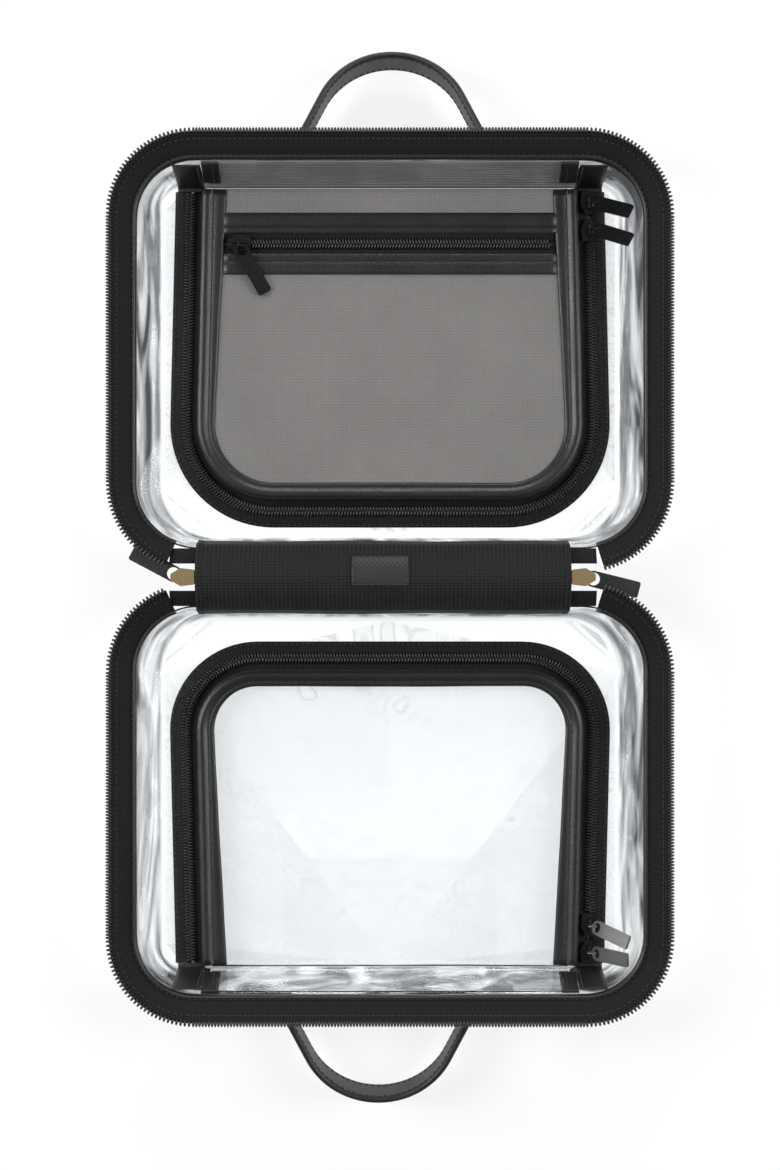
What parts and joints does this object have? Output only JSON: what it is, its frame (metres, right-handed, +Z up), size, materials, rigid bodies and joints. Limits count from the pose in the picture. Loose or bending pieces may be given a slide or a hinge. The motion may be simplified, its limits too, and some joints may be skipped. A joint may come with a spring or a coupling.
{
  "type": "cosmetics_case",
  "caption": "Clear clamshell cosmetics case lying open flat, with zip-round rims, zipped mesh and clear pockets, a fabric spine and strap handles",
  "frame": {"origin": "on the table under the middle of the hinge line", "axes": "+X right along the hinge, +Y towards the rear half, +Z up"},
  "size_m": [0.2894, 0.5446, 0.0495],
  "materials": {
    "clear_pvc": "clear, glossy, flexible sheet",
    "black_tape": "woven zip tape, matt",
    "black_coil": "moulded coil teeth, slight sheen",
    "black_pu": "soft grained, semi-gloss",
    "grey_mesh": "fine knitted mesh",
    "black_nylon": "ribbed nylon webbing",
    "brass": "polished",
    "black_metal": "satin black",
    "satin_metal": "satin"
  },
  "bodies": {
    "rear_half": {"rear_tray": "clear_pvc", "rear_rim_tape": "black_tape", "rear_rim_teeth": "black_coil", "rear_seam_binding": "black_pu", "rear_handle_feet": "black_pu", "rear_pocket_outer_tape": "black_tape", "rear_pocket_outer_coil": "black_coil", "rear_pocket_end_tabs": "black_pu", "rear_pocket_root": "grey_mesh", "rear_pocket_root_binding": "black_pu", "rear_slider_b": "black_metal", "spine_strip": "black_nylon", "spine_patch": "black_pu", "chain_ends": "black_coil", "left_main_slider": "brass", "right_main_slider": "brass"},
    "front_half": {"front_tray": "clear_pvc", "front_rim_tape": "black_tape", "front_rim_teeth": "black_coil", "front_seam_binding": "black_pu", "front_handle_feet": "black_pu", "front_pocket_outer_tape": "black_tape", "front_pocket_outer_coil": "black_coil", "front_pocket_end_tabs": "black_pu", "front_pocket_root": "clear_pvc", "front_pocket_root_binding": "black_pu", "front_slider_b": "black_metal"},
    "rear_flap": {"rear_flap_tape": "black_tape", "rear_flap_coil": "black_coil", "rear_flap_binding": "black_pu", "rear_flap_mesh": "grey_mesh", "rear_slip_strips": "black_pu", "rear_slip_tapes": "black_tape", "rear_slip_coil": "black_coil", "rear_slip_backing": "clear_pvc"},
    "front_flap": {"front_flap_tape": "black_tape", "front_flap_coil": "black_coil", "front_flap_binding": "black_pu", "front_flap_panel": "clear_pvc"},
    "rear_slider_a": {"rear_slider_a": "black_metal"},
    "rear_pull_a": {"rear_pull_a": "black_metal"},
    "rear_pull_b": {"rear_pull_b": "black_metal"},
    "rear_handle": {"rear_handle": "black_pu"},
    "front_slider_a": {"front_slider_a": "black_metal"},
    "front_pull_a": {"front_pull_a": "satin_metal"},
    "front_pull_b": {"front_pull_b": "satin_metal"},
    "front_handle": {"front_handle": "black_pu"},
    "slip_slider": {"slip_slider": "black_metal"},
    "slip_pull": {"slip_pull": "black_metal"},
    "left_main_pull": {"left_main_ring": "brass", "left_main_pull": "black_pu"},
    "right_main_pull": {"right_main_ring": "brass", "right_main_pull": "black_pu"}
  },
  "joints": [
    {"name": "case_hinge", "type": "hinge", "parent": "rear_half", "child": "front_half", "pos_m": [0, 0, 0.048], "axis": [-1, 0, 0], "range_deg": [0, 180], "deforming": ["spine_strip", "spine_patch"]},
    {"name": "rear_flap_fold", "type": "hinge", "parent": "rear_half", "child": "rear_flap", "pos_m": [0, 0.2043, 0.0118], "axis": [1, 0, 0], "range_deg": [-88, 0]},
    {"name": "rear_pocket_zip", "type": "slide", "parent": "rear_half", "child": "rear_slider_a", "axis": [0.0237, -0.9997, 0], "range_m": [0, 0.09]},
    {"name": "rear_pull_a_lift", "type": "hinge", "parent": "rear_slider_a", "child": "rear_pull_a", "pos_m": [0.10498, 0.183, 0.00935], "axis": [0.0237, -0.9997, 0], "range_deg": [0, 80]},
    {"name": "rear_pull_b_lift", "type": "hinge", "parent": "rear_half", "child": "rear_pull_b", "pos_m": [0.10465, 0.197, 0.00935], "axis": [0.0237, -0.9997, 0], "range_deg": [0, 80]},
    {"name": "rear_handle_swing", "type": "hinge", "parent": "rear_half", "child": "rear_handle", "pos_m": [0, 0.22443, 0.02597], "axis": [-1, 0, 0], "range_deg": [-28, 35]},
    {"name": "front_flap_fold", "type": "hinge", "parent": "front_half", "child": "front_flap", "pos_m": [0, -0.2043, 0.0118], "axis": [-1, 0, 0], "range_deg": [-88, 0]},
    {"name": "front_pocket_zip", "type": "slide", "parent": "front_half", "child": "front_slider_a", "axis": [0.0249, 0.9997, 0], "range_m": [0, 0.09]},
    {"name": "front_pull_a_lift", "type": "hinge", "parent": "front_slider_a", "child": "front_pull_a", "pos_m": [0.10501, -0.183, 0.00935], "axis": [-0.0249, -0.9997, 0], "range_deg": [0, 80]},
    {"name": "front_pull_b_lift", "type": "hinge", "parent": "front_half", "child": "front_pull_b", "pos_m": [0.10466, -0.197, 0.00935], "axis": [-0.0249, -0.9997, 0], "range_deg": [0, 80]},
    {"name": "front_handle_swing", "type": "hinge", "parent": "front_half", "child": "front_handle", "pos_m": [0, -0.22443, 0.02597], "axis": [1, 0, 0], "range_deg": [-28, 35]},
    {"name": "slip_zip", "type": "slide", "parent": "rear_flap", "child": "slip_slider", "axis": [1, 0, 0], "range_m": [0, 0.14]},
    {"name": "slip_pull_lift", "type": "hinge", "parent": "slip_slider", "child": "slip_pull", "pos_m": [-0.079, 0.175, 0.01575], "axis": [-1, 0, 0], "range_deg": [0, 90]},
    {"name": "left_main_pull_swing", "type": "hinge", "parent": "rear_half", "child": "left_main_pull", "pos_m": [-0.1053, 0, 0.04075], "axis": [0, -1, 0], "range_deg": [0, 75]},
    {"name": "right_main_pull_swing", "type": "hinge", "parent": "rear_half", "child": "right_main_pull", "pos_m": [0.0983, 0, 0.04075], "axis": [0, 1, 0], "range_deg": [0, 75]}
  ]
}
